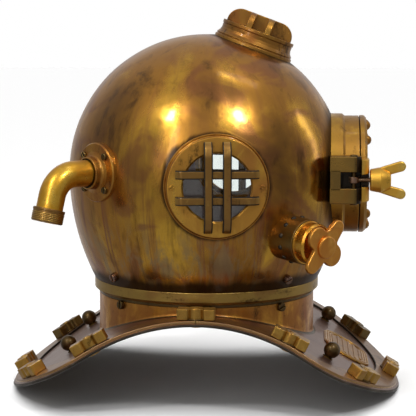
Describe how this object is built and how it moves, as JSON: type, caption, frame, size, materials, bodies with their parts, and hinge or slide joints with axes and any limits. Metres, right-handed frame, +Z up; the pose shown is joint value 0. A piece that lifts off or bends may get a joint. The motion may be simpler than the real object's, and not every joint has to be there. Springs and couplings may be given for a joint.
{
  "type": "diving helmet",
  "caption": "Hard-hat diving helmet: round bonnet with guarded windows, hinged face door, air elbows and exhaust valve, locked on an arched breastplate.",
  "frame": {"origin": "centre of the neck opening at its lower end, on the neck axis", "axes": "+Z up along the neck axis, -Y towards the face window, +X towards the diver's left"},
  "size_m": [0.3706, 0.4642, 0.4414],
  "materials": {
    "sheet_brass": "aged, brownish with a worn bright edge",
    "shell_brass": "polished brass with a golden brown patina",
    "cast_brass": "satin cast brass",
    "bright_brass": "worn yellow brass",
    "red_brass": "coppery red-brown patina",
    "dark_brass": "dark olive patina",
    "glass": "clear",
    "leather": "oiled",
    "rubber": "matt"
  },
  "bodies": {
    "breastplate_body": {"breastplate": "sheet_brass", "breastplate_ring": "cast_brass", "neck_gasket": "leather", "brail_front_right": "sheet_brass", "brail_front_left": "sheet_brass", "brail_rear_right": "sheet_brass", "brail_rear_left": "sheet_brass", "studs": "dark_brass", "stud_washers": "bright_brass", "wing_nuts": "bright_brass", "strap_knobs": "dark_brass", "chest_panel": "cast_brass", "collar_screws": "dark_brass"},
    "bonnet": {"shell": "shell_brass", "neck_ring": "cast_brass", "shell_ring_screws": "dark_brass", "side_ring_right": "cast_brass", "side_ring_left": "cast_brass", "side_glass_right": "glass", "side_glass_left": "glass", "side_guard_right": "cast_brass", "side_guard_left": "cast_brass", "side_screws": "dark_brass", "top_ring": "cast_brass", "top_glass": "glass", "top_guard": "cast_brass", "face_ring": "cast_brass", "face_gasket": "rubber", "hinge_pin": "dark_brass", "latch_pin": "dark_brass", "inlet_flange_right": "red_brass", "inlet_flange_left": "red_brass", "inlet_elbow_right": "bright_brass", "inlet_elbow_left": "bright_brass", "inlet_collars": "dark_brass", "inlet_screws": "red_brass", "exhaust_drum": "dark_brass", "exhaust_cap": "bright_brass", "exhaust_studs": "bright_brass"},
    "face_door": {"door_ring": "cast_brass", "door_glass": "glass", "door_retainer": "cast_brass", "door_bolts": "dark_brass"},
    "latch_bolt": {"swing_bolt": "dark_brass"},
    "latch_wing_nut": {"latch_nut": "bright_brass"},
    "exhaust_handle": {"exhaust_knob": "red_brass"}
  },
  "joints": [
    {"name": "bonnet_turn", "type": "hinge", "parent": "breastplate_body", "child": "bonnet", "pos_m": [0, 0, 0.02], "axis": [0, 0, 1], "range_deg": [0, 45]},
    {"name": "face_door_hinge", "type": "hinge", "parent": "bonnet", "child": "face_door", "pos_m": [0.08, -0.174, 0.1515], "axis": [0, 0, 1], "range_deg": [0, 110]},
    {"name": "swing_bolt_pivot", "type": "hinge", "parent": "face_door", "child": "latch_bolt", "pos_m": [-0.08, -0.1702, 0.1515], "axis": [0, 0, -1], "range_deg": [0, 95]},
    {"name": "latch_nut_spin", "type": "hinge", "parent": "latch_bolt", "child": "latch_wing_nut", "pos_m": [-0.08, -0.19, 0.1515], "axis": [0, -1, 0], "continuous": true},
    {"name": "exhaust_knob_turn", "type": "hinge", "parent": "bonnet", "child": "exhaust_handle", "pos_m": [-0.12154, -0.10126, 0.0912], "axis": [-0.7171, -0.6925, -0.0785], "range_deg": [0, 270]}
  ]
}
